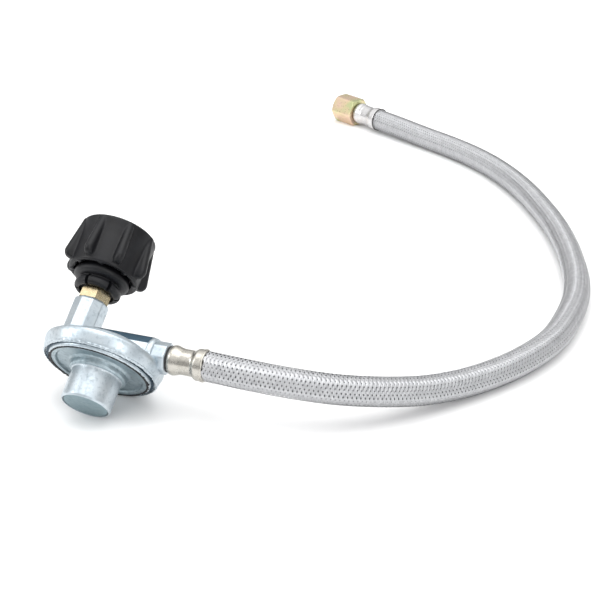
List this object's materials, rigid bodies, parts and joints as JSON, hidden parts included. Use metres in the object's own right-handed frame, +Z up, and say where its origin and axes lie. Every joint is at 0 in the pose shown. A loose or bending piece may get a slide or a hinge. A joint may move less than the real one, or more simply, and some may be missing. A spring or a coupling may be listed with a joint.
{
  "type": "propane regulator hose",
  "caption": "Low-pressure gas regulator with a ribbed plastic tank nut, a braided steel hose and a swivel flare nut.",
  "frame": {"origin": "centre of the bottom of the regulator's box, on the floor that the part lies on", "axes": "+Z up from the floor; +X along the regulator's outlet, towards the hose; +Y the side that the tank nut points to, rising"},
  "size_m": [0.2645, 0.5018, 0.0849],
  "materials": {
    "black_plastic": "satin moulded nylon",
    "brass": "turned brass",
    "rubber": "matt nitrile rubber",
    "spring_steel": "drawn wire",
    "cast_zinc": "die-cast zinc, clear passivated",
    "cover_zinc": "die-cast zinc, blue passivated",
    "pale_plastic": "acetal",
    "zinc_plated_steel": "zinc plated",
    "nickel_ferrule": "nickel plated, crimped",
    "bright_ferrule": "bright zinc plated, crimped",
    "steel_braid": "woven stainless wire",
    "yellow_chromate": "yellow chromate over zinc"
  },
  "bodies": {
    "regulator": {"thermal_bushing": "black_plastic", "inlet_nipple": "brass", "nipple_seal": "rubber", "excess_flow_spring": "spring_steel", "poppet_retainer": "brass", "regulator_body": "cast_zinc", "orifice": "brass", "lever_pin": "zinc_plated_steel", "diaphragm": "rubber", "main_spring": "spring_steel", "adjusting_screw": "pale_plastic", "cover": "cover_zinc", "tower_cap": "cover_zinc", "vent_screen": "spring_steel", "outlet_stem": "nickel_ferrule", "outlet_seal": "rubber", "near_ferrule": "nickel_ferrule", "hose": "steel_braid", "inner_tube": "rubber", "far_seal": "rubber", "far_ferrule": "bright_ferrule", "flare_tail": "bright_ferrule"},
    "tank_nut": {"coupling_nut": "black_plastic"},
    "poppet": {"excess_flow_poppet": "brass"},
    "diaphragm_centre": {"diaphragm_plate": "zinc_plated_steel", "diaphragm_post": "pale_plastic", "relief_spring": "spring_steel", "relief_retainer": "zinc_plated_steel"},
    "valve_lever": {"lever": "zinc_plated_steel", "seat_holder": "pale_plastic", "seat_disc": "rubber"},
    "swivel_nut": {"flare_nut": "yellow_chromate"}
  },
  "joints": [
    {"name": "tank_nut_spin", "type": "hinge", "parent": "regulator", "child": "tank_nut", "pos_m": [-0.0252, 0.02799, 0.06042], "axis": [0, 0.8241, 0.5664], "continuous": true},
    {"name": "poppet_slide", "type": "slide", "parent": "regulator", "child": "poppet", "axis": [0, 0.8241, 0.5664], "range_m": [-0.0028, 0], "stiffness_N_per_m": 150, "springref_m": 0.001, "deforming": ["excess_flow_spring"]},
    {"name": "diaphragm_slide", "type": "slide", "parent": "regulator", "child": "diaphragm_centre", "axis": [0, 0.8241, 0.5664], "range_m": [-0.0014, 0], "stiffness_N_per_m": 600, "springref_m": 0.002, "deforming": ["main_spring", "diaphragm"]},
    {"name": "lever_tilt", "type": "hinge", "parent": "regulator", "child": "valve_lever", "pos_m": [-0.0197, -0.02047, 0.02712], "axis": [0, 0.5664, -0.8241], "range_deg": [0, 6.4]},
    {"name": "flare_nut_spin", "type": "hinge", "parent": "regulator", "child": "swivel_nut", "pos_m": [-0.02298, 0.4367, 0.01], "axis": [-0.8949, 0.4462, 0], "continuous": true}
  ],
  "couplings": [
    {"joint": "lever_tilt", "follows": "diaphragm_slide", "rad_per_m": -76.92}
  ]
}
